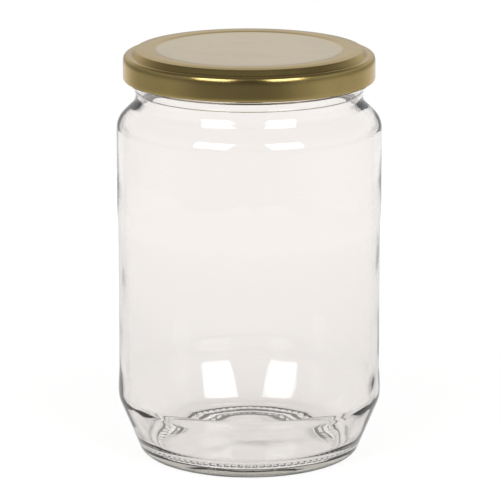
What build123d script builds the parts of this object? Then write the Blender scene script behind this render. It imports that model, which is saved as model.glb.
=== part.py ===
from build123d import *
import math
import os

# Glass food jar with a one-piece twist-off metal lid. It comes apart into three pieces: the
# blown glass jar, the pressed tinplate lid shell with its rolled edge and six inward lugs,
# and the soft sealing ring that lies in the lid. Millimetres, +Z up, origin at the centre of
# the face that the jar stands on. The lid is seated but not yet turned, so its lugs lie
# between the threads of the jar.

# ---- Driving dimensions: body of the jar ----
rim_height = 138.0            # sealing rim above the table
shoulder_width = 6.5          # body measured outward from the neck
panel_depth = 0.35            # how far the labelling panel is set in
panel_bottom = 30.0           # lower end of the labelling panel
panel_top = 80.0              # upper end of the labelling panel
panel_run = 6.0               # height over which the panel runs out into a band
panel_round = 20.0
wall = 2.5                    # glass in the side and the shoulder
heel_wall = 3.8               # glass at the foot of the heel cone, measured level
inside_heel_lift = 1.0        # top of the inside heel cone above the outside one
base_thickness = 3.4          # glass over the ring that the jar stands on
floor_round = 8.0             # inside, between floor and heel
floor_crown = 1.2             # bulge of the inside floor on the axis

heel_taper = 8.2              # how far the heel cone draws in by the table
heel_height = 20.0
heel_round = 8.0
foot_round = 4.0
bearing_width = 5.9           # foot of the heel cone in to the inner edge of the standing ring
push_up_slope = 7.5           # standing ring in to the circle where the push-up turns flatter
push_up_rise = 1.3
push_up_crown = 1.9           # rise of the underside on the axis

neck_step = 0.7               # neck set in from the finish wall above it
neck_length = 6.1             # foot of the finish wall down to the corner of the shoulder
shoulder_slope = 45.0         # degrees from level
shoulder_round = 7.0
neck_round = 5.0

# ---- Driving dimensions: threaded finish of the jar ----
finish_radius = 39.3          # wall that carries the threads; jar and lid follow it
finish_skirting = 1.5         # how far that wall reaches down past the lid's edge
finish_wall = 2.6
finish_round = 0.4
rim_round = 1.1
thread_count = 6              # threads on the jar, and lugs on the lid
thread_depth = 1.6            # crest of a thread outside the finish wall
thread_root = 2.6             # thickness of a thread at the glass wall
thread_crest = 1.2            # thickness of a thread at its crest
thread_round = 0.5
thread_span = 37.0            # degrees
thread_slope = 2.5            # degrees, falling clockwise as seen from above

# ---- Driving dimensions: lid shell ----
lid_height = 10.4             # rolled edge up to the crest of the raised ring
sheet = 0.25                  # tinplate
lid_ledge = 4.15              # lid shoulder, from the raised ring out to the skirt's face
ring_rise = 2.0               # crest of the raised ring above the lid's shoulder
ring_width = 7.6              # raised ring, from its outside in to the centre panel
ring_flare = 1.4              # lean of the ring's outer wall
panel_sink = 0.3              # centre panel below the crest
panel_ramp = 1.2              # width of the slope around the centre panel
corner_round = 1.2            # between lid shoulder and skirt
skirt_lean = 0.45             # how far the skirt's upper end leans in
lean_height = 1.7             # lid shoulder down to where that lean ends
lean_round = 4.0
bend_round = 0.6              # the other bends, to the middle of the sheet
curl_radius = 0.55            # rolled edge, to the middle of the sheet
lug_height = 1.5
lug_round = 0.3
lug_span = 12.0               # degrees

# ---- Driving dimensions: sealing ring, and clearances ----
seal_thickness = 0.55         # between the rim and the lid's shoulder
seal_step = 0.9               # extra thickness under the raised ring
seal_overhang = 0.7           # how far it reaches inward of the rim
seal_round = 0.15
seal_gap = 0.1                # sealing ring to rim, and sealing ring to sheet
skirt_gap = 1.6               # crest of a thread to the inside of the skirt
lug_side_gap = 0.45           # tip of a lug to the finish wall
lug_gap = 0.25                # seated lug to the low end of a thread
thread_bite = 0.6             # how deep a thread's foot lies in the wall

# ---- Places worked out from them ----
neck_radius = finish_radius - neck_step
mouth_radius = finish_radius - finish_wall
body_radius = neck_radius + shoulder_width
heel_foot_radius = body_radius - heel_taper
bearing_radius = heel_foot_radius - bearing_width
push_up_radius = bearing_radius - push_up_slope
thread_radius = finish_radius + thread_depth
lid_radius = thread_radius + skirt_gap + sheet
ring_radius = lid_radius - lid_ledge
panel_radius = ring_radius - ring_width
lug_tip_radius = finish_radius + lug_side_gap
lid_shoulder_z = rim_height + seal_gap + seal_thickness + seal_gap + sheet
crest_z = lid_shoulder_z + ring_rise
skirt_bottom_z = crest_z - lid_height
lug_top_z = skirt_bottom_z + lug_height
finish_z = skirt_bottom_z - finish_skirting
neck_corner_z = finish_z - neck_length
shoulder_rise = math.tan(math.radians(shoulder_slope))
shoulder_corner_z = neck_corner_z - (body_radius - neck_radius) * shoulder_rise
inside_radius = body_radius - panel_depth - wall
inside_drop = wall / math.cos(math.radians(shoulder_slope))
inside_neck_z = neck_corner_z - inside_drop + (neck_radius - mouth_radius) * shoulder_rise
inside_shoulder_z = neck_corner_z - inside_drop - (inside_radius - neck_radius) * shoulder_rise
heel_lean = (body_radius - heel_foot_radius) / heel_height
inside_foot_radius = heel_foot_radius - heel_wall + base_thickness * heel_lean
thread_flank = (thread_root - thread_crest) / (thread_radius - finish_radius)
thread_foot = thread_root + thread_flank * thread_bite
thread_fall = finish_radius * math.tan(math.radians(thread_slope)) * math.sin(
    math.radians(thread_span / 2))
thread_middle_z = lug_top_z + lug_gap + thread_root / 2 + thread_fall
lug_pitch = 360 / thread_count

os.makedirs("parts", exist_ok=True)

# ---- Jar: one lathe-like outline, then the threads ----
outside = [
    (push_up_radius, push_up_rise, 0),
    (bearing_radius, 0, 0),
    (heel_foot_radius, 0, foot_round),
    (body_radius, heel_height, heel_round),
    (body_radius, panel_bottom - panel_run, panel_round),
    (body_radius - panel_depth, panel_bottom, panel_round),
    (body_radius - panel_depth, panel_top, panel_round),
    (body_radius, panel_top + panel_run, panel_round),
    (body_radius, shoulder_corner_z, shoulder_round),
    (neck_radius, neck_corner_z, neck_round),
    (neck_radius, finish_z, finish_round),
    (finish_radius, finish_z + finish_radius - neck_radius, finish_round),
    (finish_radius, rim_height, rim_round),
]
inside = [
    (mouth_radius, rim_height, rim_round),
    (mouth_radius, inside_neck_z, neck_round + wall),
    (inside_radius, inside_shoulder_z, shoulder_round - wall),
    (inside_radius, heel_height + inside_heel_lift, heel_round - wall),
    (inside_foot_radius, base_thickness, floor_round),
]
corners = outside + inside
underside_centre = (0, push_up_crown)
floor_centre = (0, base_thickness + floor_crown)

with BuildPart() as thread:
    level = Plane(origin=(0, 0, thread_middle_z), x_dir=(1, 0, 0), z_dir=(0, 0, 1))
    tilted = level.rotated((thread_slope, 0, 0)).rotated((0, 0, -thread_span / 2))
    with BuildSketch(Plane(tilted.origin, x_dir=tilted.x_dir, z_dir=-tilted.y_dir)):
        with BuildLine():
            FilletPolyline(
                (finish_radius - thread_bite, -thread_foot / 2),
                (thread_radius, -thread_crest / 2),
                (thread_radius, thread_crest / 2),
                (finish_radius - thread_bite, thread_foot / 2),
                radius=thread_round,
            )
            Line(
                (finish_radius - thread_bite, thread_foot / 2),
                (finish_radius - thread_bite, -thread_foot / 2),
            )
        make_face()
    revolve(axis=Axis(tilted.origin, tilted.z_dir), revolution_arc=thread_span)

with BuildPart() as jar:
    with BuildSketch(Plane.XZ):
        with BuildLine():
            FilletPolyline(
                [underside_centre] + [(r, z) for r, z, rounding in corners] + [floor_centre],
                radius=[rounding for r, z, rounding in corners],
            )
            Line(floor_centre, underside_centre)
        make_face()
    revolve(axis=Axis.Z)
    with PolarLocations(0, thread_count):
        add(thread.part)
jar.part.label = "glass_jar"
export_step(jar.part, "parts/glass_jar.step")

# ---- Lid shell: the middle line of the sheet, thickened and turned, then the lugs ----
skirt_middle = lid_radius - sheet / 2
crest_middle = crest_z - sheet / 2
curl_z = skirt_bottom_z + sheet / 2 + curl_radius

with BuildPart() as lug:
    with BuildSketch(Plane.XZ):
        with BuildLine():
            FilletPolyline(
                (skirt_middle, skirt_bottom_z + sheet / 2),
                (lug_tip_radius + sheet / 2, skirt_bottom_z + sheet / 2),
                (lug_tip_radius + sheet / 2, lug_top_z - sheet / 2),
                (skirt_middle, lug_top_z - sheet / 2),
                radius=lug_round,
            )
        trace(line_width=sheet)
    revolve(axis=Axis.Z, revolution_arc=lug_span)

with BuildPart() as lid_shell:
    with BuildSketch(Plane.XZ):
        with BuildLine():
            FilletPolyline(
                (0, crest_middle - panel_sink),
                (panel_radius, crest_middle - panel_sink),
                (panel_radius + panel_ramp, crest_middle),
                (ring_radius - sheet / 2, crest_middle),
                (ring_radius - sheet / 2 + ring_flare, lid_shoulder_z - sheet / 2),
                (skirt_middle - skirt_lean, lid_shoulder_z - sheet / 2),
                (skirt_middle, lid_shoulder_z - lean_height),
                (skirt_middle, curl_z),
                radius=[bend_round] * 4 + [corner_round, lean_round],
            )
            JernArc((skirt_middle, curl_z), (0, -1), curl_radius, -270)
        trace(line_width=sheet)
    revolve(axis=Axis.Z)
    with PolarLocations(0, thread_count, start_angle=lug_pitch / 2 - lug_span / 2):
        add(lug.part)
lid_shell.part.label = "lid_shell"
export_step(lid_shell.part, "parts/lid_shell.step")

# ---- Sealing ring: lies under the lid's shoulder and fills into the raised ring ----
seal_bottom = rim_height + seal_gap
seal_top = seal_bottom + seal_thickness
seal_inner_radius = mouth_radius - seal_overhang
seal_step_radius = ring_radius - sheet - bend_round
seal_outer_radius = skirt_middle - skirt_lean - corner_round

with BuildPart() as sealing_ring:
    with BuildSketch(Plane.XZ):
        with BuildLine():
            FilletPolyline(
                (seal_inner_radius, seal_bottom),
                (seal_outer_radius, seal_bottom),
                (seal_outer_radius, seal_top),
                (seal_step_radius, seal_top),
                (seal_step_radius, seal_top + seal_step),
                (seal_inner_radius, seal_top + seal_step),
                radius=seal_round,
                close=True,
            )
        make_face()
    revolve(axis=Axis.Z)
sealing_ring.part.label = "sealing_ring"
export_step(sealing_ring.part, "parts/sealing_ring.step")
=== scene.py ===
import bpy
import math
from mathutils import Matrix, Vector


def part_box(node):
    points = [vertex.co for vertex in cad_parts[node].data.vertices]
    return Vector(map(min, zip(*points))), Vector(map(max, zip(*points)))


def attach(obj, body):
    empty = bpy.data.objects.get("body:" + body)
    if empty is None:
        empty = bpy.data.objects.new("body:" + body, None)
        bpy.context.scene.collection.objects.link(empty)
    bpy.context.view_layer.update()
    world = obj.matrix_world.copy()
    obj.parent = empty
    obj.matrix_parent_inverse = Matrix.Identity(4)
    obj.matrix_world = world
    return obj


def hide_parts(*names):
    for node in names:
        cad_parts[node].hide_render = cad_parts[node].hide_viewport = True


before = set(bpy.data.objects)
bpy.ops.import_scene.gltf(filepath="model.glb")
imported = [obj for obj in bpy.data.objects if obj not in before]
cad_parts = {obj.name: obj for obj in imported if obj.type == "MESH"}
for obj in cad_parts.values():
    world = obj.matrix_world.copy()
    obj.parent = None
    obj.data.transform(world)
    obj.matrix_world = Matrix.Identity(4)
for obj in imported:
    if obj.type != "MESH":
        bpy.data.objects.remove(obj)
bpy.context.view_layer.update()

# ---- Sizes. Metres, read from the frame where the frame has them ----
MM = 0.001
jar_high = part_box("glass_jar")[1]
lid_low, lid_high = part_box("lid_shell")
seal_low, seal_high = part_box("sealing_ring")

BODY_R = jar_high[0]                 # bands above and below the labelling panel
RIM_Z = jar_high[2]
LID_R = lid_high[0]
LID_TOP = lid_high[2]
SKIRT_Z = lid_low[2]
SEAL_R = seal_high[0]
SEAL_BASE = seal_low[2]
SEAL_TOP = seal_high[2]

# Jar: base, body and shoulder
PANEL_DEPTH = 0.35 * MM              # labelling panel, set in from the bands
PANEL_LOW = 30 * MM
PANEL_HIGH = 80 * MM
PANEL_RUN = 6 * MM
PANEL_ROUND = 20 * MM
WALL = 2.5 * MM
FLOOR_THICK = 3.4 * MM
FLOOR_CROWN = 1.2 * MM
FLOOR_ROUND = 8 * MM
HEEL_WALL = 3.8 * MM                 # glass at the foot of the heel
HEEL_TAPER = 8.2 * MM
HEEL_HEIGHT = 20 * MM
HEEL_ROUND = 8 * MM
INSIDE_HEEL_LIFT = 1 * MM            # top of the inside heel above the outside one
FOOT_ROUND = 4 * MM
FOOT_R = BODY_R - HEEL_TAPER
BEARING_WIDTH = 5.9 * MM
BEARING_ROUND = 12 * MM
BEARING_R = FOOT_R - BEARING_WIDTH   # inner edge of the ring that the jar stands on
PUSH_UP_SLOPE = 7.5 * MM
PUSH_UP_R = BEARING_R - PUSH_UP_SLOPE
PUSH_UP_ROUND = 25 * MM
PUSH_UP_RISE = 1.3 * MM
PUSH_UP_CROWN = 1.9 * MM
NOTCHES = 84                         # pressed into the ring that the jar stands on
NOTCH_DEPTH = 0.2 * MM
NOTCHED_WIDTH = 3.2 * MM
FOOT_RUNOUT = 2.7 * MM               # foot's rounding, measured along the base
NOTCHED_R = (BEARING_R + FOOT_R - FOOT_RUNOUT) / 2
INSIDE_WAVE = 0.16 * MM              # unevenness of the blown inside wall
OUTSIDE_WAVE = 0.06 * MM             # and of the moulded outside wall
SHOULDER_WIDTH = 6.5 * MM
SHOULDER_SLOPE = math.radians(45)
SHOULDER_ROUND = 7 * MM

# Jar: neck and threaded finish
PARTING_Z = 126.9 * MM               # line that the neck mould leaves
PARTING_RISE = 0.35 * MM
PARTING_ROUND = 0.1 * MM
NECK_R = BODY_R - SHOULDER_WIDTH
NECK_ROUND = 5 * MM
NECK_LENGTH = 6.1 * MM
NECK_STEP = 0.7 * MM
FINISH_R = NECK_R + NECK_STEP
FINISH_SKIRTING = 1.5 * MM           # finish wall below the lid's edge
FINISH_Z = SKIRT_Z - FINISH_SKIRTING
FINISH_ROUND = 0.2 * MM
FINISH_WALL = 2.6 * MM
RIM_ROUND = 1.1 * MM
MOUTH_R = FINISH_R - FINISH_WALL
THREADS = 6
THREAD_DEPTH = 1.6 * MM
THREAD_FOOT = 2.7 * MM               # width of a thread where it leaves the wall
THREAD_CREST = 1.0 * MM              # width along its crest
THREAD_SPAN = math.radians(37)
THREAD_END = math.radians(4)         # length over which a thread runs out
THREAD_SLOPE = math.radians(2.5)

# Lid and sealing ring
SHEET = 0.25 * MM
LEDGE = 4.15 * MM                    # lid shoulder, from the raised ring out to the skirt
RING_RISE = 2.0 * MM
RING_FLARE = 1.4 * MM
RING_CROWN = 0.3 * MM                # crown of the raised ring
RING_CROWN_ROUND = 12 * MM
RING_EDGE_ROUND = 1.0 * MM
RING_WIDTH = 7.6 * MM
RING_R = LID_R - LEDGE
PRESS_R = RING_R - RING_WIDTH        # flat centre panel of the lid
PRESS_SINK = 0.3 * MM
PRESS_RAMP = 1.2 * MM
CORNER_ROUND = 1.2 * MM
SKIRT_LEAN = 0.45 * MM               # the skirt's upper end leans in by this
LEAN_HEIGHT = 1.7 * MM
LEAN_ROUND = 4 * MM
BEND_ROUND = 0.6 * MM
CURL_R = 0.55 * MM
LUG_HEIGHT = 1.5 * MM
LUG_GAP = 0.25 * MM                  # seated lug to the low end of a thread
LUG_SPAN = math.radians(12)
LUG_ROUND = 0.3 * MM
LUG_TIP_R = FINISH_R + 0.45 * MM
SEAL_STEP = 0.9 * MM                 # extra thickness under the raised ring
SEAL_OVERHANG = 0.7 * MM             # reach inward of the rim
SEAL_ROUND = 0.15 * MM


# ---- Outlines ----
def rounded(corners, turn=math.radians(6)):
    """Points along straight runs joined by arcs. A corner is (radius, height, rounding, step)."""
    points = [corners[0][:2]]
    for corner, after in zip(corners[1:], corners[2:]):
        r, z, rounding, step = corner
        into = math.atan2(z - points[-1][1], r - points[-1][0])
        away = math.atan2(after[1] - z, after[0] - r)
        bend = (away - into + math.pi) % (2 * math.pi) - math.pi
        reach = rounding * math.tan(abs(bend) / 2)
        start = (r - reach * math.cos(into), z - reach * math.sin(into))
        points += stretch(points[-1], start, step)
        side = math.copysign(math.pi / 2, bend)
        middle_r = start[0] + rounding * math.cos(into + side)
        middle_z = start[1] + rounding * math.sin(into + side)
        parts = math.ceil(abs(bend) / turn) if rounding else 0
        for i in range(1, parts + 1):
            angle = into - side + bend * i / parts
            points.append((middle_r + rounding * math.cos(angle), middle_z + rounding * math.sin(angle)))
    return points + stretch(points[-1], corners[-1][:2], corners[-1][3])


def stretch(start, end, step):
    """Evenly spaced points after start, up to and including end, at most a step apart."""
    length = math.dist(start, end)
    parts = math.ceil(length / step) if length > 1e-7 else 0
    return [tuple(a + (b - a) * i / parts for a, b in zip(start, end)) for i in range(1, parts + 1)]


def both_faces(middle, thickness):
    """Outer face of a bent sheet followed back along its inner face, about its middle line."""
    outer, inner = [], []
    for i, (r, z) in enumerate(middle):
        r0, z0 = middle[max(i - 1, 0)]
        r1, z1 = middle[min(i + 1, len(middle) - 1)]
        length = math.hypot(r1 - r0, z1 - z0)
        across = (-(z1 - z0) / length * thickness / 2, (r1 - r0) / length * thickness / 2)
        outer.append((r + across[0], z + across[1]))
        inner.append((r - across[0], z - across[1]))
    return outer + inner[::-1]


# ---- Node helpers ----
GEOMETRY = "NodeSocketGeometry"
NUMBER = "NodeSocketFloat"
COUNT = "NodeSocketInt"
VECTOR = "NodeSocketVector"


def put(tree, kind, inputs=None, **settings):
    """Adds a node. An input given as a socket is linked, and any other value is set."""
    node = tree.nodes.new(kind)
    for name, value in settings.items():
        setattr(node, name, value)
    for key, value in (inputs or {}).items():
        if isinstance(value, bpy.types.NodeSocket):
            tree.links.new(value, node.inputs[key])
        else:
            node.inputs[key].default_value = value
    return node


def calc(tree, operation, *values):
    """Output of a Math node."""
    return put(tree, "ShaderNodeMath", dict(enumerate(values)), operation=operation).outputs[0]


def plus(tree, first, second):
    return calc(tree, "ADD", first, second)


def times(tree, first, second):
    return calc(tree, "MULTIPLY", first, second)


def fade(tree, value, start, end, low=1.0, high=0.0):
    """low up to start, high from end on, and a smooth step between them."""
    return put(tree, "ShaderNodeMapRange", {
        "Value": value, "From Min": start, "From Max": end, "To Min": low, "To Max": high,
    }, interpolation_type="SMOOTHSTEP").outputs["Result"]


def blend(tree, factor, first, second, kind="FLOAT"):
    """Mixes two numbers, or two colours where the kind is RGBA."""
    values = {"Factor": factor, "A": first, "B": second}
    return put(tree, "ShaderNodeMix", values, data_type=kind).outputs["Result"]


def noise(tree, place, scale, detail, distortion=0.0):
    """A soft random value from 0 to 1 at each place."""
    return put(tree, "ShaderNodeTexNoise", {
        "Vector": place, "Scale": scale, "Detail": detail, "Distortion": distortion}).outputs["Fac"]


def apart(tree, vector):
    """The three parts of a vector."""
    return put(tree, "ShaderNodeSeparateXYZ", {0: vector}).outputs


def level_length(tree, x, y):
    """Distance from the upright axis."""
    return calc(tree, "SQRT", plus(tree, times(tree, x, x), times(tree, y, y)))


def new_tree(name, kind, ins, outs):
    """A node group with named sockets. Gives the tree and its input and output nodes."""
    tree = bpy.data.node_groups.new(name, kind)
    for label, socket in ins.items():
        tree.interface.new_socket(label, in_out="INPUT", socket_type=socket)
    for label, socket in outs.items():
        tree.interface.new_socket(label, in_out="OUTPUT", socket_type=socket)
    return tree, tree.nodes.new("NodeGroupInput"), tree.nodes.new("NodeGroupOutput")


# ---- Shapes turned from an outline ----
def inside_mark(tree):
    """1 at points on the inside of the glass and 0 elsewhere."""
    node = put(tree, "GeometryNodeInputNamedAttribute", {"Name": "inside"}, data_type="FLOAT")
    return node.outputs["Attribute"]


def row_sample(tree, outline, value, row, kind):
    """The value that the outline has at the point with the row's number."""
    sample = put(tree, "GeometryNodeSampleIndex", data_type=kind, domain="POINT")
    tree.links.new(outline, sample.inputs["Geometry"])
    tree.links.new(value, sample.inputs["Value"])
    tree.links.new(row, sample.inputs["Index"])
    return sample.outputs["Value"]


def turned_tree():
    """Turns the outline, whose points are (radius, 0, height), about the upright axis."""
    tree, given, result = new_tree("turned_outline", "GeometryNodeTree", {
        "Outline": GEOMETRY, "Segments": COUNT}, {"Surface": GEOMETRY})
    outline, segments = given.outputs["Outline"], given.outputs["Segments"]
    size = put(tree, "GeometryNodeAttributeDomainSize", {"Geometry": outline}, component="MESH")
    rows = size.outputs["Point Count"]
    columns = plus(tree, segments, 1)
    grid = put(tree, "GeometryNodeMeshGrid", {"Vertices X": columns, "Vertices Y": rows}).outputs["Mesh"]
    index = put(tree, "GeometryNodeInputIndex").outputs[0]
    row = calc(tree, "MODULO", index, rows)
    column = calc(tree, "FLOOR", calc(tree, "DIVIDE", plus(tree, index, 0.5), rows))
    angle = times(tree, calc(tree, "DIVIDE", column, segments), 2 * math.pi)
    place = put(tree, "GeometryNodeInputPosition").outputs[0]
    point = apart(tree, row_sample(tree, outline, place, row, "FLOAT_VECTOR"))
    turned_place = put(tree, "ShaderNodeCombineXYZ", {
        "X": times(tree, point["X"], calc(tree, "COSINE", angle)),
        "Y": times(tree, point["X"], calc(tree, "SINE", angle)),
        "Z": point["Z"]}).outputs[0]
    mark = row_sample(tree, outline, inside_mark(tree), row, "FLOAT")
    marked = put(tree, "GeometryNodeStoreNamedAttribute", {
        "Geometry": grid, "Name": "inside", "Value": mark}, data_type="FLOAT", domain="POINT")
    shaped = put(tree, "GeometryNodeSetPosition", {"Geometry": marked.outputs[0], "Position": turned_place})
    joined = put(tree, "GeometryNodeMergeByDistance", {
        "Geometry": shaped.outputs[0], "Distance": 0.002 * MM})
    smooth = put(tree, "GeometryNodeSetShadeSmooth", {"Geometry": joined.outputs[0]})
    tree.links.new(smooth.outputs[0], result.inputs["Surface"])
    return tree


def thread_relief_tree():
    """Raises the threads on the outside of the finish."""
    tree, given, result = new_tree("thread_relief", "GeometryNodeTree", {
        "Glass": GEOMETRY, "Count": COUNT, "Middle Height": NUMBER, "Wall Radius": NUMBER,
        "Depth": NUMBER, "Foot": NUMBER, "Crest": NUMBER, "Span": NUMBER, "Rise": NUMBER},
        {"Glass": GEOMETRY})
    ins = given.outputs
    x, y, z = apart(tree, put(tree, "GeometryNodeInputPosition").outputs[0])
    angle = calc(tree, "ARCTAN2", y, x)
    pitch = calc(tree, "DIVIDE", 2 * math.pi, ins["Count"])
    nearest = times(tree, pitch, calc(tree, "ROUND", calc(tree, "DIVIDE", angle, pitch)))
    local = calc(tree, "SUBTRACT", angle, nearest)
    centre = plus(tree, ins["Middle Height"], times(tree, ins["Rise"], calc(tree, "SINE", local)))
    off = calc(tree, "ABSOLUTE", calc(tree, "SUBTRACT", z, centre))
    flank = fade(tree, off, calc(tree, "DIVIDE", ins["Crest"], 2), calc(tree, "DIVIDE", ins["Foot"], 2))
    half = calc(tree, "DIVIDE", ins["Span"], 2)
    end = fade(tree, calc(tree, "ABSOLUTE", local), calc(tree, "SUBTRACT", half, THREAD_END), half)
    outer = calc(tree, "SUBTRACT", ins["Wall Radius"], 0.05 * MM)
    outside = calc(tree, "GREATER_THAN", level_length(tree, x, y), outer)
    height = times(tree, times(tree, flank, end), times(tree, outside, ins["Depth"]))
    push = put(tree, "ShaderNodeCombineXYZ", {
        "X": times(tree, height, calc(tree, "COSINE", angle)),
        "Y": times(tree, height, calc(tree, "SINE", angle))}).outputs[0]
    raised = put(tree, "GeometryNodeSetPosition", {"Geometry": ins["Glass"], "Offset": push})
    tree.links.new(raised.outputs[0], result.inputs["Glass"])
    return tree


def mould_relief_tree():
    """Presses short notches into the ring that the jar stands on, and waves into both walls."""
    tree, given, result = new_tree("mould_relief", "GeometryNodeTree", {
        "Glass": GEOMETRY, "Notches": COUNT, "Ring Radius": NUMBER, "Ring Width": NUMBER,
        "Depth": NUMBER, "Inside Wave": NUMBER, "Outside Wave": NUMBER}, {"Glass": GEOMETRY})
    ins = given.outputs
    position = put(tree, "GeometryNodeInputPosition").outputs[0]
    x, y, z = apart(tree, position)
    angle = calc(tree, "ARCTAN2", y, x)
    wander = times(tree, noise(tree, position, 260.0, 1.0), 2.5)
    wave = calc(tree, "COSINE", plus(tree, wander, times(tree, angle, ins["Notches"])))
    notch = times(tree, plus(tree, wave, 1.0), 0.5)
    off = calc(tree, "ABSOLUTE", calc(tree, "SUBTRACT", level_length(tree, x, y), ins["Ring Radius"]))
    ring = fade(tree, off, times(tree, ins["Ring Width"], 0.3), times(tree, ins["Ring Width"], 0.5))
    under = fade(tree, z, 0.2 * MM, 0.6 * MM)
    lift = times(tree, times(tree, notch, ring), times(tree, under, ins["Depth"]))
    notched = put(tree, "GeometryNodeSetPosition", {
        "Geometry": ins["Glass"], "Offset": put(tree, "ShaderNodeCombineXYZ", {"Z": lift}).outputs[0]})
    blow = noise(tree, position, 45.0, 3.0)
    mark = inside_mark(tree)
    outside_part = times(tree, calc(tree, "SUBTRACT", 1.0, mark), ins["Outside Wave"])
    amount = plus(tree, times(tree, mark, ins["Inside Wave"]), outside_part)
    swell = times(tree, times(tree, blow, amount), -1.0)
    normal = put(tree, "GeometryNodeInputNormal").outputs[0]
    along = put(tree, "ShaderNodeVectorMath", {0: normal, "Scale": swell}, operation="SCALE").outputs[0]
    waved = put(tree, "GeometryNodeSetPosition", {"Geometry": notched.outputs[0], "Offset": along})
    tree.links.new(waved.outputs[0], result.inputs["Glass"])
    return tree


def lug_ring_tree():
    """Sets copies of one lug in a ring."""
    tree, given, result = new_tree("lug_ring", "GeometryNodeTree", {
        "Shell": GEOMETRY, "Lug": "NodeSocketObject", "Count": COUNT, "First Angle": NUMBER},
        {"Shell": GEOMETRY})
    ins = given.outputs
    lug = put(tree, "GeometryNodeObjectInfo", {"Object": ins["Lug"]}).outputs["Geometry"]
    line = put(tree, "GeometryNodeMeshLine", {"Count": ins["Count"], "Offset": (0, 0, 0)}).outputs[0]
    pitch = calc(tree, "DIVIDE", 2 * math.pi, ins["Count"])
    number = put(tree, "GeometryNodeInputIndex").outputs[0]
    angle = plus(tree, ins["First Angle"], times(tree, number, pitch))
    turn = put(tree, "ShaderNodeCombineXYZ", {"Z": angle}).outputs[0]
    copies = put(tree, "GeometryNodeInstanceOnPoints", {
        "Points": line, "Instance": lug, "Rotation": turn})
    both = put(tree, "GeometryNodeJoinGeometry")
    tree.links.new(copies.outputs[0], both.inputs[0])
    tree.links.new(ins["Shell"], both.inputs[0])
    tree.links.new(both.outputs[0], result.inputs["Shell"])
    return tree


def shape(name, mesh, steps, material):
    """Runs the mesh through groups of nodes, each (tree, settings), and gives one plain closed piece."""
    tree, given, result = new_tree(
        name + "_shape", "GeometryNodeTree", {"Outline": GEOMETRY}, {"Piece": GEOMETRY})
    flow = given.outputs["Outline"]
    values = {}
    for step, settings in steps:
        group = put(tree, "GeometryNodeGroup", node_tree=step)
        tree.links.new(flow, group.inputs[0])
        for label, value in settings.items():
            kind = group.inputs[label].bl_idname
            socket = tree.interface.new_socket(label, in_out="INPUT", socket_type=kind)
            tree.links.new(given.outputs[label], group.inputs[label])
            values[socket.identifier] = value
        flow = group.outputs[0]
    real = put(tree, "GeometryNodeRealizeInstances", {"Geometry": flow})
    coated = put(tree, "GeometryNodeSetMaterial", {"Geometry": real.outputs[0], "Material": material})
    tree.links.new(coated.outputs[0], result.inputs["Piece"])
    maker = bpy.data.objects.new(name + "_outline", mesh)
    bpy.context.scene.collection.objects.link(maker)
    nodes = maker.modifiers.new("shape", "NODES")
    nodes.node_group = tree
    for identifier, value in values.items():
        nodes[identifier] = value
    made = bpy.data.meshes.new_from_object(maker.evaluated_get(bpy.context.evaluated_depsgraph_get()))
    bpy.data.objects.remove(maker)
    made.name = name
    if signed_volume(made) < 0:
        made.flip_normals()
    piece = bpy.data.objects.new(name, made)
    bpy.context.scene.collection.objects.link(piece)
    return piece


def signed_volume(mesh):
    """Volume that the faces close in: negative where they point inwards."""
    mesh.calc_loop_triangles()
    return sum(mesh.vertices[a].co.dot(mesh.vertices[b].co.cross(mesh.vertices[c].co))
               for a, b, c in (t.vertices for t in mesh.loop_triangles)) / 6


def outline_mesh(name, points, inside=()):
    """Outline as loose points, each marked as on the inside of the piece or not."""
    mesh = bpy.data.meshes.new(name)
    mesh.from_pydata([(r, 0, z) for r, z in points], [], [])
    mark = mesh.attributes.new("inside", "FLOAT", "POINT")
    for item, value in zip(mark.data, inside):
        item.value = value
    return mesh


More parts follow.
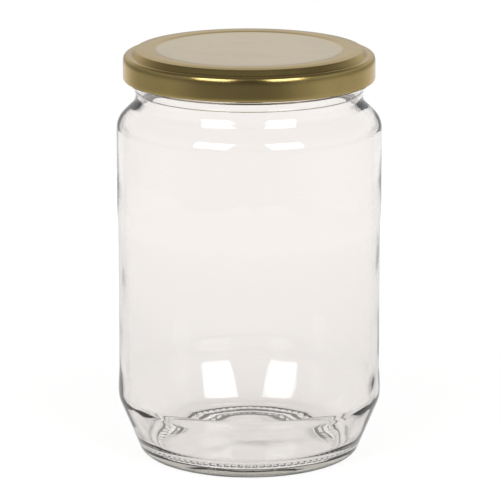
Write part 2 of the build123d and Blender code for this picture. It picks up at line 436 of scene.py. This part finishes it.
# ---- The three pieces ----
def glass_outline():
    """Outside of the jar from the centre of its base, then its inside, with a mark for each point."""
    slope = math.tan(SHOULDER_SLOPE)
    neck_corner = FINISH_Z - NECK_LENGTH
    shoulder_corner = neck_corner - SHOULDER_WIDTH * slope
    inner_r = BODY_R - PANEL_DEPTH - WALL
    drop = WALL / math.cos(SHOULDER_SLOPE)
    lean = HEEL_TAPER / HEEL_HEIGHT
    inner_foot_r = FOOT_R - HEEL_WALL + FLOOR_THICK * lean
    rim_middle = (FINISH_R + MOUTH_R) / 2
    outside = rounded([
        (0, PUSH_UP_CROWN, 0, 0),
        (PUSH_UP_R, PUSH_UP_RISE, PUSH_UP_ROUND, 3 * MM),
        (BEARING_R, 0, BEARING_ROUND, 1.5 * MM),
        (FOOT_R, 0, FOOT_ROUND, 0.4 * MM),
        (BODY_R, HEEL_HEIGHT, HEEL_ROUND, 2 * MM),
        (BODY_R, PANEL_LOW - PANEL_RUN, PANEL_ROUND, 2 * MM),
        (BODY_R - PANEL_DEPTH, PANEL_LOW, PANEL_ROUND, 2 * MM),
        (BODY_R - PANEL_DEPTH, PANEL_HIGH, PANEL_ROUND, 3.5 * MM),
        (BODY_R, PANEL_HIGH + PANEL_RUN, PANEL_ROUND, 2 * MM),
        (BODY_R, shoulder_corner, SHOULDER_ROUND, 3.5 * MM),
        (NECK_R, neck_corner, NECK_ROUND, 1 * MM),
        (NECK_R, PARTING_Z - PARTING_RISE, 0, 0.3 * MM),
        (NECK_R + PARTING_RISE, PARTING_Z, PARTING_ROUND, 0.3 * MM),
        (NECK_R + PARTING_RISE, FINISH_Z, FINISH_ROUND, 0.7 * MM),
        (FINISH_R, FINISH_Z + FINISH_R - NECK_R, FINISH_ROUND, 0.5 * MM),
        (FINISH_R, RIM_Z, RIM_ROUND, 0.22 * MM),
        (rim_middle, RIM_Z, 0, 0.5 * MM),
    ])
    inside = rounded([
        (rim_middle, RIM_Z, 0, 0),
        (MOUTH_R, RIM_Z, RIM_ROUND, 0.5 * MM),
        (MOUTH_R, neck_corner - drop + (NECK_R - MOUTH_R) * slope, NECK_ROUND + WALL, 1.5 * MM),
        (inner_r, neck_corner - drop - (inner_r - NECK_R) * slope, SHOULDER_ROUND - WALL, 1.5 * MM),
        (inner_r, HEEL_HEIGHT + INSIDE_HEEL_LIFT, HEEL_ROUND - WALL, 3.5 * MM),
        (inner_foot_r, FLOOR_THICK, FLOOR_ROUND, 2 * MM),
        (0, FLOOR_THICK + FLOOR_CROWN, 0, 3 * MM),
    ])
    return outside + inside[1:], [0.0] * len(outside) + [1.0] * (len(inside) - 1)


def make_jar(turned, material):
    points, inside = glass_outline()
    rise = FINISH_R * math.tan(THREAD_SLOPE)
    lug_top = SKIRT_Z + LUG_HEIGHT
    thread_middle = lug_top + LUG_GAP + THREAD_FOOT / 2 + rise * math.sin(THREAD_SPAN / 2)
    return shape("clear_glass_jar", outline_mesh("glass_outline", points, inside), (
        (turned, {"Segments": 336}),
        (thread_relief_tree(), {
            "Count": THREADS, "Middle Height": thread_middle, "Wall Radius": FINISH_R,
            "Depth": THREAD_DEPTH, "Foot": THREAD_FOOT, "Crest": THREAD_CREST,
            "Span": THREAD_SPAN, "Rise": rise}),
        (mould_relief_tree(), {
            "Notches": NOTCHES, "Ring Radius": NOTCHED_R, "Ring Width": NOTCHED_WIDTH,
            "Depth": NOTCH_DEPTH, "Inside Wave": INSIDE_WAVE, "Outside Wave": OUTSIDE_WAVE}),
    ), material)


def lid_middle_line():
    """Middle of the lid's sheet, from the centre of its panel out and down into the rolled edge."""
    skirt = LID_R - SHEET / 2
    crest = LID_TOP - SHEET / 2
    shoulder = LID_TOP - RING_RISE
    curl_z = SKIRT_Z + SHEET / 2 + CURL_R
    line = rounded([
        (0, crest - PRESS_SINK, 0, 0),
        (PRESS_R, crest - PRESS_SINK, BEND_ROUND, 4 * MM),
        (PRESS_R + PRESS_RAMP, crest - RING_CROWN / 3, BEND_ROUND, 0.5 * MM),
        ((PRESS_R + RING_R) / 2, crest + RING_CROWN / 4, RING_CROWN_ROUND, 0.5 * MM),
        (RING_R - SHEET / 2, crest - RING_CROWN, RING_EDGE_ROUND, 0.4 * MM),
        (RING_R - SHEET / 2 + RING_FLARE, shoulder - SHEET / 2, BEND_ROUND, 0.5 * MM),
        (skirt - SKIRT_LEAN, shoulder - SHEET / 2, CORNER_ROUND, 0.4 * MM),
        (skirt, shoulder - LEAN_HEIGHT, LEAN_ROUND, 0.5 * MM),
        (skirt, curl_z, 0, 1 * MM),
    ], turn=math.radians(10))
    for i in range(1, 19):
        angle = math.radians(-15 * i)
        line.append((skirt - CURL_R + CURL_R * math.cos(angle), curl_z + CURL_R * math.sin(angle)))
    return line


def make_lug():
    """One lug: a tongue of the rolled edge pressed inward, closed at both ends."""
    low = SKIRT_Z + SHEET / 2
    high = SKIRT_Z + LUG_HEIGHT - SHEET / 2
    skirt = LID_R - SHEET / 2
    tip = LUG_TIP_R + SHEET / 2
    section = both_faces(rounded([
        (skirt, low, 0, 0),
        (tip, low, LUG_ROUND, 1 * MM),
        (tip, high, LUG_ROUND, 1 * MM),
        (skirt, high, 0, 1 * MM),
    ], turn=math.radians(15)), SHEET)
    count = len(section)
    steps = 10
    points, faces = [], []
    for i in range(steps + 1):
        angle = LUG_SPAN * (i / steps - 0.5)
        points += [(r * math.cos(angle), r * math.sin(angle), z) for r, z in section]
    for i in range(steps):
        for j in range(count):
            a, b = i * count + j, i * count + (j + 1) % count
            faces.append((a, b, b + count, a + count))
    for j in range(count // 2 - 1):
        k = count - 1 - j
        faces.append((j + 1, j, k, k - 1))
        faces.append(tuple(v + steps * count for v in (j, j + 1, k - 1, k)))
    mesh = bpy.data.meshes.new("lug")
    mesh.from_pydata(points, [], faces)
    mesh.shade_smooth()
    lug = bpy.data.objects.new("lug", mesh)
    bpy.context.scene.collection.objects.link(lug)
    return lug


def make_lid(turned, material):
    lug = make_lug()
    outline = outline_mesh("lid_outline", both_faces(lid_middle_line(), SHEET))
    lid = shape("gold_lid_shell", outline, (
        (turned, {"Segments": 320}),
        (lug_ring_tree(), {"Lug": lug, "Count": THREADS, "First Angle": math.pi / THREADS}),
    ), material)
    bpy.data.objects.remove(lug)
    return lid


def make_seal(turned, material):
    """The ring starts and ends halfway up its inner face, so that all its corners are rounded."""
    step_r = RING_R - SHEET - BEND_ROUND
    step_z = SEAL_TOP - SEAL_STEP
    inner_r = MOUTH_R - SEAL_OVERHANG
    section = [
        (inner_r, SEAL_BASE),
        (SEAL_R, SEAL_BASE),
        (SEAL_R, step_z),
        (step_r, step_z),
        (step_r, SEAL_TOP),
        (inner_r, SEAL_TOP),
    ]
    halfway = (inner_r, (SEAL_BASE + SEAL_TOP) / 2)
    corners = [(*halfway, 0, 0)]
    corners += [(r, z, SEAL_ROUND, 0.8 * MM) for r, z in section]
    corners.append((*halfway, 0, 0.8 * MM))
    outline = outline_mesh("seal_outline", rounded(corners, turn=math.radians(15)))
    return shape("soft_sealing_ring", outline, ((turned, {"Segments": 256}),), material)


# ---- Surfaces ----
GOLD_DEEP = (0.345, 0.255, 0.080, 1)
GOLD_PALE = (0.445, 0.335, 0.125, 1)
GOLD_SHEEN = (0.95, 0.82, 0.60, 1)
COMPOUND_CLEAN = (0.82, 0.79, 0.70, 1)
COMPOUND_SMEARED = (0.74, 0.70, 0.60, 1)
GLASS_DEPTH_TINT = (0.1, 0.1, 0.0, 1)  # share of each colour that thick glass spares


def handling_tree():
    """Fine scuffs and a soft film left by handling: a mask of fine scratches and one of smears."""
    tree, given, result = new_tree("handling_marks", "ShaderNodeTree", {
        "Coordinates": VECTOR, "Scratch Scale": NUMBER, "Smear Scale": NUMBER},
        {"Scratches": NUMBER, "Smears": NUMBER})
    ins = given.outputs
    drawn_out = put(tree, "ShaderNodeMapping", {
        "Vector": ins["Coordinates"], "Rotation": (0.3, 0.2, 0.5), "Scale": (1.0, 14.0, 9.0)}).outputs[0]
    hair = noise(tree, drawn_out, ins["Scratch Scale"], 4.0)
    tree.links.new(fade(tree, hair, 0.60, 0.72, 0.0, 1.0), result.inputs["Scratches"])
    film = noise(tree, ins["Coordinates"], ins["Smear Scale"], 3.0, distortion=0.8)
    tree.links.new(fade(tree, film, 0.42, 0.68, 0.0, 1.0), result.inputs["Smears"])
    return tree


def new_material(name):
    """A new material, its tree, its main shader and its object coordinates."""
    material = bpy.data.materials.new(name)
    material.use_nodes = True
    tree = material.node_tree
    tree.nodes.clear()
    shader = tree.nodes.new("ShaderNodeBsdfPrincipled")
    output = tree.nodes.new("ShaderNodeOutputMaterial")
    tree.links.new(shader.outputs[0], output.inputs["Surface"])
    return material, tree, shader, put(tree, "ShaderNodeTexCoord").outputs["Object"]


def marks(tree, group, coordinates, scratch_scale, smear_scale):
    """Scratches and smears at the material's own scales."""
    node = put(tree, "ShaderNodeGroup", {
        "Coordinates": coordinates, "Scratch Scale": scratch_scale, "Smear Scale": smear_scale,
    }, node_tree=group)
    return node.outputs["Scratches"], node.outputs["Smears"]


def bumped(tree, shader, height, strength, distance):
    """Lets a height show in the shader's normal."""
    bump = put(tree, "ShaderNodeBump", {"Height": height, "Strength": strength, "Distance": distance})
    tree.links.new(bump.outputs[0], shader.inputs["Normal"])


def clear_glass(handling):
    """Bottle glass: almost colourless, faintly smeared, rippled most at the heel."""
    material, tree, shader, place = new_material("clear_glass")
    scratches, smears = marks(tree, handling, place, 220.0, 30.0)
    shader.inputs["Base Color"].default_value = (1, 1, 1, 1)
    shader.inputs["Transmission Weight"].default_value = 1.0
    shader.inputs["IOR"].default_value = 1.52
    rough = plus(tree, times(tree, smears, 0.012), times(tree, scratches, 0.02))
    tree.links.new(rough, shader.inputs["Roughness"])
    height = apart(tree, place)["Z"]
    heel_only = fade(tree, height, HEEL_HEIGHT, PANEL_LOW + PANEL_RUN, 1.0, 0.3)
    ripple = times(tree, noise(tree, place, 70.0, 0.0), heel_only)
    bumped(tree, shader, ripple, 1.0, 0.4 * MM)
    depth = put(tree, "ShaderNodeVolumeAbsorption", {"Color": GLASS_DEPTH_TINT, "Density": 12.0})
    tree.links.new(depth.outputs[0], tree.nodes["Material Output"].inputs["Volume"])
    return material


def gold_lacquer(handling):
    """Thin gold lacquer over rolled tinplate: metal with a clear coat, rolling grain and light scuffs."""
    material, tree, shader, place = new_material("gold_lacquered_tinplate")
    scratches, smears = marks(tree, handling, place, 300.0, 45.0)
    rolled = put(tree, "ShaderNodeMapping", {"Vector": place, "Scale": (60.0, 2600.0, 900.0)}).outputs[0]
    grain = noise(tree, rolled, 1.0, 3.0)
    mottle = noise(tree, place, 160.0, 3.0)
    shade = plus(tree, times(tree, mottle, 0.7), times(tree, grain, 0.3))
    tone = blend(tree, shade, GOLD_DEEP, GOLD_PALE, "RGBA")
    tree.links.new(tone, shader.inputs["Base Color"])
    shader.inputs["Metallic"].default_value = 1.0
    shader.inputs["Specular Tint"].default_value = GOLD_SHEEN
    wear = plus(tree, times(tree, smears, 0.06), times(tree, scratches, 0.04))
    tree.links.new(plus(tree, 0.2, wear), shader.inputs["Roughness"])
    level = put(tree, "ShaderNodeVectorMath", {0: place, 1: (1, 1, 0)}, operation="MULTIPLY")
    reach = put(tree, "ShaderNodeVectorMath", {0: level.outputs["Vector"]}, operation="LENGTH")
    coat = fade(tree, reach.outputs["Value"], PRESS_R, PRESS_R + PRESS_RAMP, 1.0, 0.5)
    tree.links.new(coat, shader.inputs["Coat Weight"])
    shader.inputs["Coat Roughness"].default_value = 0.1
    shader.inputs["Coat IOR"].default_value = 1.5
    bumped(tree, shader, grain, 0.15, 0.02 * MM)
    return material


def sealing_compound(handling):
    """Off-white plastisol, moulded in place, slightly glossy with fine pits."""
    material, tree, shader, place = new_material("sealing_compound")
    scratches, smears = marks(tree, handling, place, 400.0, 60.0)
    tone = blend(tree, smears, COMPOUND_CLEAN, COMPOUND_SMEARED, "RGBA")
    tree.links.new(tone, shader.inputs["Base Color"])
    tree.links.new(plus(tree, 0.35, times(tree, scratches, 0.2)), shader.inputs["Roughness"])
    bumped(tree, shader, noise(tree, place, 1400.0, 2.0), 0.3, 0.05 * MM)
    return material


# ---- Studio ----
WHITE = (1, 1, 1, 1)
WARM_WHITE = (1.0, 0.955, 0.93, 1)    # the backdrop as glass shows it
TABLE_R = 0.45
TABLE_GREY = (0.86, 0.825, 0.805, 1)
SOFTBOX_SIDE = math.radians(34)       # to each side of the front
SOFTBOX_UP = math.radians(30)
SOFTBOX_AWAY = 1.5
SOFTBOX_POWER = 9.0
AIM_Z = 0.07                          # height that the softboxes face
LENS = 265.2
SENSOR = 36.0
LENS_SHIFT = 0.0016
CAMERA_PLACE = (0, -1.225, 0.3711)
LOOKING_DOWN = math.radians(13.78)


def backdrop_tint(tree, path):
    """White, and a little warmer where it is seen through glass."""
    return blend(tree, path["Is Transmission Ray"], WHITE, WARM_WHITE, "RGBA")


def direction_parts(tree):
    """A direction's share to the front (-Y) along the level, from -1 to 1, its rise and its way right."""
    x, y, z = apart(tree, put(tree, "ShaderNodeTexCoord").outputs["Generated"])
    front = calc(tree, "DIVIDE", times(tree, y, -1.0), plus(tree, level_length(tree, x, y), 0.0001))
    return front, z, x


def make_world():
    """White all round for the eye; in gloss and glass, white behind, darker in front and above."""
    world = bpy.data.worlds.new("studio")
    bpy.context.scene.world = world
    world.use_nodes = True
    tree = world.node_tree
    tree.nodes.clear()
    front, up, right = direction_parts(tree)

    behind = fade(tree, front, -1.0, -0.5, 0.42, 0.0)
    darkest = fade(tree, up, 0.0, 0.2, -0.33, -0.49)
    ahead = times(tree, fade(tree, front, 0.2, 0.9, 0.0, 1.0), darkest)
    window = fade(tree, right, 0.3, 0.8, 0.0, 0.2)
    sides = plus(tree, plus(tree, 0.58, window), plus(tree, behind, ahead))
    below = fade(tree, up, -0.2, -0.08, 1.0, 0.55)
    horizon = plus(tree, below, fade(tree, up, 0.05, 0.22, 0.0, 0.28))
    overhead = fade(tree, up, 0.25, 0.75, 0.0, 1.0)
    gloss = blend(tree, overhead, times(tree, sides, horizon), 0.2)

    level_through = fade(tree, front, 0.0, 0.9, 1.0, 0.9)
    through = times(tree, level_through, fade(tree, up, 0.5, 0.95, 1.0, 0.85))

    path = put(tree, "ShaderNodeLightPath").outputs
    level = blend(tree, path["Is Glossy Ray"], 0.55, gloss)
    level = blend(tree, path["Is Transmission Ray"], level, through)
    level = blend(tree, path["Is Camera Ray"], level, 1.0)
    light = put(tree, "ShaderNodeBackground", {"Color": backdrop_tint(tree, path), "Strength": level})
    output = tree.nodes.new("ShaderNodeOutputWorld")
    tree.links.new(light.outputs[0], output.inputs["Surface"])


def make_floor():
    """A pale table top that shows white and keeps its real faint shadow near what stands on it; seen
    through glass it also has painted shade, darker towards the middle.
    """
    material, tree, shader, place = new_material("pale_table")
    tree.nodes.remove(shader)
    matte = put(tree, "ShaderNodeBsdfDiffuse", {"Color": TABLE_GREY})
    path = put(tree, "ShaderNodeLightPath").outputs
    level = blend(tree, path["Is Glossy Ray"], 1.08, 0.75)
    level = blend(tree, path["Is Transmission Ray"], level, 1.0)
    white = put(tree, "ShaderNodeEmission", {"Color": backdrop_tint(tree, path), "Strength": level})
    mirrored = calc(tree, "MAXIMUM", path["Is Glossy Ray"], path["Is Transmission Ray"])
    seen = calc(tree, "MAXIMUM", path["Is Camera Ray"], mirrored)
    away = put(tree, "ShaderNodeVectorMath", {0: place}, operation="LENGTH").outputs["Value"]
    open_share = fade(tree, away, 0.08, 0.3, 0.82, 1.0)
    # Painted shade: the matte share grows towards the middle, so the table seen through the glass is darker
    # near the jar even where it is lit; the matte part also shows the real shadow.
    glass_share_painted_shade = fade(tree, away, 0.04, 0.44, 0.63, 1.0)
    share = blend(tree, path["Is Transmission Ray"], open_share, glass_share_painted_shade)
    mix = put(tree, "ShaderNodeMixShader", {0: times(tree, seen, share)})
    tree.links.new(matte.outputs[0], mix.inputs[1])
    tree.links.new(white.outputs[0], mix.inputs[2])
    tree.links.new(mix.outputs[0], tree.nodes["Material Output"].inputs["Surface"])

    sides = 72
    angles = [2 * math.pi * i / sides for i in range(sides)]
    edge = [(TABLE_R * math.cos(a), TABLE_R * math.sin(a), 0) for a in angles]
    mesh = bpy.data.meshes.new("table_top")
    mesh.from_pydata(edge, [], [tuple(range(sides))])
    mesh.materials.append(material)
    floor = bpy.data.objects.new("table_top", mesh)
    bpy.context.scene.collection.objects.link(floor)


def make_softbox(name, azimuth, width, height):
    """A softbox at an azimuth from the front, facing the jar."""
    lamp = bpy.data.lights.new(name, "AREA")
    lamp.shape = "RECTANGLE"
    lamp.size = width
    lamp.size_y = height
    lamp.energy = SOFTBOX_POWER
    box = bpy.data.objects.new(name, lamp)
    flat = SOFTBOX_AWAY * math.cos(SOFTBOX_UP)
    rise = SOFTBOX_AWAY * math.sin(SOFTBOX_UP)
    box.location = (flat * math.sin(azimuth), -flat * math.cos(azimuth), rise + AIM_Z)
    box.rotation_euler = (math.pi / 2 - SOFTBOX_UP, 0, azimuth)
    box.visible_camera = False
    bpy.context.scene.collection.objects.link(box)


def make_camera():
    """Long lens a little over a metre away, looking slightly down on the lid."""
    data = bpy.data.cameras.new("camera")
    data.sensor_width = SENSOR
    data.lens = LENS
    data.shift_x = LENS_SHIFT
    camera = bpy.data.objects.new("camera", data)
    camera.location = CAMERA_PLACE
    camera.rotation_euler = (math.pi / 2 - LOOKING_DOWN, 0, 0)
    bpy.context.scene.collection.objects.link(camera)
    bpy.context.scene.camera = camera


# ---- Putting it together ----
handling = handling_tree()
turned = turned_tree()
jar = make_jar(turned, clear_glass(handling))
lid = make_lid(turned, gold_lacquer(handling))
seal = make_seal(turned, sealing_compound(handling))
for piece, body, node, finish in (
    (jar, "jar", "glass_jar", "clear_glass"),
    (lid, "lid", "lid_shell", "gold_lacquered_tinplate"),
    (seal, "seal", "sealing_ring", "sealing_compound"),
):
    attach(piece, body)
    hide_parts(node)

make_world()
make_floor()
make_softbox("left_softbox", -SOFTBOX_SIDE, 0.8, 0.8)
make_softbox("right_softbox", SOFTBOX_SIDE, 0.75, 0.8)
make_camera()
bpy.context.scene.view_settings.view_transform = "Standard"
